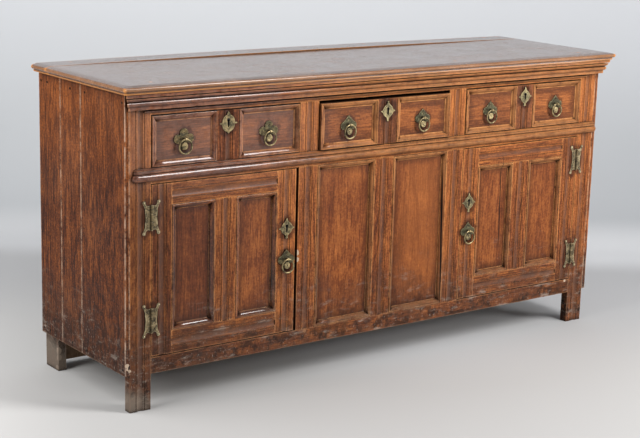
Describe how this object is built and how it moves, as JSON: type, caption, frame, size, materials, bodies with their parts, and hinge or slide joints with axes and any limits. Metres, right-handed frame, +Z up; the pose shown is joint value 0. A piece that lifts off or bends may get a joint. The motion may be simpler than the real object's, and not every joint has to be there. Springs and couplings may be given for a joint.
{
  "type": "dresser base",
  "caption": "Joined oak dresser base with moulded side-hung drawers over panelled doors and fixed middle panels, brass ring pulls and hinges.",
  "frame": {"origin": "on the floor, in the middle of the whole footprint", "axes": "+X along the front to the viewer's right, -Y towards the front, +Z up"},
  "size_m": [1.765, 0.532, 0.88],
  "materials": {
    "oak_frame": "waxed red-brown oak with dark dirt in the hollows and worn orange arrises",
    "oak_panel": "waxed red-brown oak, smooth and semi-gloss",
    "oak_moulding": "glossy waxed oak with worn orange edges",
    "oak_top": "grey-brown polished oak with a satin sheen",
    "oak_side": "dry dark brown oak, dusty and scuffed",
    "oak_bare": "unpolished oak, dull and dusty",
    "brass": "aged cast brass with a green-brown patina",
    "hinge_brass": "aged golden brass, dark in the corners",
    "iron": "dark forged iron"
  },
  "bodies": {
    "carcase": {"front_stiles": "oak_frame", "front_muntins": "oak_frame", "top_rail": "oak_frame", "waist_rail": "oak_frame", "bottom_rail": "oak_frame", "centre_panels": "oak_panel", "centre_panel_mouldings": "oak_moulding", "cornice_moulding": "oak_moulding", "lip_moulding": "oak_moulding", "waist_moulding": "oak_moulding", "top_front_board": "oak_top", "top_rear_board": "oak_top", "rear_stiles": "oak_side", "back_rails": "oak_bare", "inner_rails": "oak_bare", "side_boards_left": "oak_side", "side_boards_right": "oak_side", "back_boards": "oak_bare", "floor_boards": "oak_bare", "drawer_runners": "oak_bare", "frame_pegs": "oak_frame", "iron_nails": "iron", "fixed_hinge_leaves": "hinge_brass", "hinge_pins": "hinge_brass"},
    "left_drawer": {"drawer_front_left": "oak_panel", "drawer_trim_left": "oak_moulding", "drawer_box_left": "oak_bare", "drawer_brasses_left": "brass"},
    "middle_drawer": {"drawer_front_middle": "oak_panel", "drawer_trim_middle": "oak_moulding", "drawer_box_middle": "oak_bare", "drawer_brasses_middle": "brass"},
    "right_drawer": {"drawer_front_right": "oak_panel", "drawer_trim_right": "oak_moulding", "drawer_box_right": "oak_bare", "drawer_brasses_right": "brass"},
    "left_door": {"door_frame_left": "oak_frame", "door_panels_left": "oak_panel", "door_trim_left": "oak_moulding", "door_brasses_left": "brass", "door_hinge_leaves_left": "hinge_brass"},
    "right_door": {"door_frame_right": "oak_frame", "door_panels_right": "oak_panel", "door_trim_right": "oak_moulding", "door_brasses_right": "brass", "door_hinge_leaves_right": "hinge_brass"},
    "left_drawer_a_ring": {"ring_left_drawer_a": "brass"},
    "left_drawer_b_ring": {"ring_left_drawer_b": "brass"},
    "middle_drawer_a_ring": {"ring_middle_drawer_a": "brass"},
    "middle_drawer_b_ring": {"ring_middle_drawer_b": "brass"},
    "right_drawer_a_ring": {"ring_right_drawer_a": "brass"},
    "right_drawer_b_ring": {"ring_right_drawer_b": "brass"},
    "left_door_ring": {"ring_left_door": "brass"},
    "right_door_ring": {"ring_right_door": "brass"},
    "left_drawer_bolt": {"lock_bolt_left_drawer": "iron"},
    "middle_drawer_bolt": {"lock_bolt_middle_drawer": "iron"},
    "right_drawer_bolt": {"lock_bolt_right_drawer": "iron"},
    "left_door_bolt": {"lock_bolt_left_door": "iron"},
    "right_door_bolt": {"lock_bolt_right_door": "iron"}
  },
  "joints": [
    {"name": "left_drawer_slide", "type": "slide", "parent": "carcase", "child": "left_drawer", "axis": [0, -1, 0], "range_m": [0, 0.3]},
    {"name": "middle_drawer_slide", "type": "slide", "parent": "carcase", "child": "middle_drawer", "axis": [0, -1, 0], "range_m": [-0.006, 0.3]},
    {"name": "right_drawer_slide", "type": "slide", "parent": "carcase", "child": "right_drawer", "axis": [0, -1, 0], "range_m": [0, 0.3]},
    {"name": "left_door_hinge", "type": "hinge", "parent": "carcase", "child": "left_door", "pos_m": [-0.779, -0.2254, 0.3805], "axis": [0, 0, -1], "range_deg": [0, 160]},
    {"name": "right_door_hinge", "type": "hinge", "parent": "carcase", "child": "right_door", "pos_m": [0.779, -0.2254, 0.3805], "axis": [0, 0, 1], "range_deg": [0, 160]},
    {"name": "left_drawer_a_ring_swing", "type": "hinge", "parent": "left_drawer", "child": "left_drawer_a_ring", "pos_m": [-0.67825, -0.2265, 0.7255], "axis": [-1, 0, 0], "range_deg": [0, 150]},
    {"name": "left_drawer_b_ring_swing", "type": "hinge", "parent": "left_drawer", "child": "left_drawer_b_ring", "pos_m": [-0.40975, -0.2265, 0.7255], "axis": [-1, 0, 0], "range_deg": [0, 150]},
    {"name": "middle_drawer_a_ring_swing", "type": "hinge", "parent": "middle_drawer", "child": "middle_drawer_a_ring", "pos_m": [-0.14075, -0.2325, 0.723], "axis": [-1, 0, 0], "range_deg": [0, 150]},
    {"name": "middle_drawer_b_ring_swing", "type": "hinge", "parent": "middle_drawer", "child": "middle_drawer_b_ring", "pos_m": [0.13075, -0.2325, 0.723], "axis": [-1, 0, 0], "range_deg": [0, 150]},
    {"name": "right_drawer_a_ring_swing", "type": "hinge", "parent": "right_drawer", "child": "right_drawer_a_ring", "pos_m": [0.40225, -0.2265, 0.7255], "axis": [-1, 0, 0], "range_deg": [0, 150]},
    {"name": "right_drawer_b_ring_swing", "type": "hinge", "parent": "right_drawer", "child": "right_drawer_b_ring", "pos_m": [0.67575, -0.2265, 0.7255], "axis": [-1, 0, 0], "range_deg": [0, 150]},
    {"name": "left_door_ring_swing", "type": "hinge", "parent": "left_door", "child": "left_door_ring", "pos_m": [-0.346, -0.2325, 0.36], "axis": [-1, 0, 0], "range_deg": [0, 150]},
    {"name": "right_door_ring_swing", "type": "hinge", "parent": "right_door", "child": "right_door_ring", "pos_m": [0.329, -0.2325, 0.36], "axis": [-1, 0, 0], "range_deg": [0, 150]},
    {"name": "left_drawer_bolt_throw", "type": "slide", "parent": "left_drawer", "child": "left_drawer_bolt", "axis": [0, 0, 1], "range_m": [0, 0.012]},
    {"name": "middle_drawer_bolt_throw", "type": "slide", "parent": "middle_drawer", "child": "middle_drawer_bolt", "axis": [0, 0, 1], "range_m": [0, 0.012]},
    {"name": "right_drawer_bolt_throw", "type": "slide", "parent": "right_drawer", "child": "right_drawer_bolt", "axis": [0, 0, 1], "range_m": [0, 0.012]},
    {"name": "left_door_bolt_throw", "type": "slide", "parent": "left_door", "child": "left_door_bolt", "axis": [1, 0, 0], "range_m": [0, 0.014]},
    {"name": "right_door_bolt_throw", "type": "slide", "parent": "right_door", "child": "right_door_bolt", "axis": [-1, 0, 0], "range_m": [0, 0.014]}
  ]
}
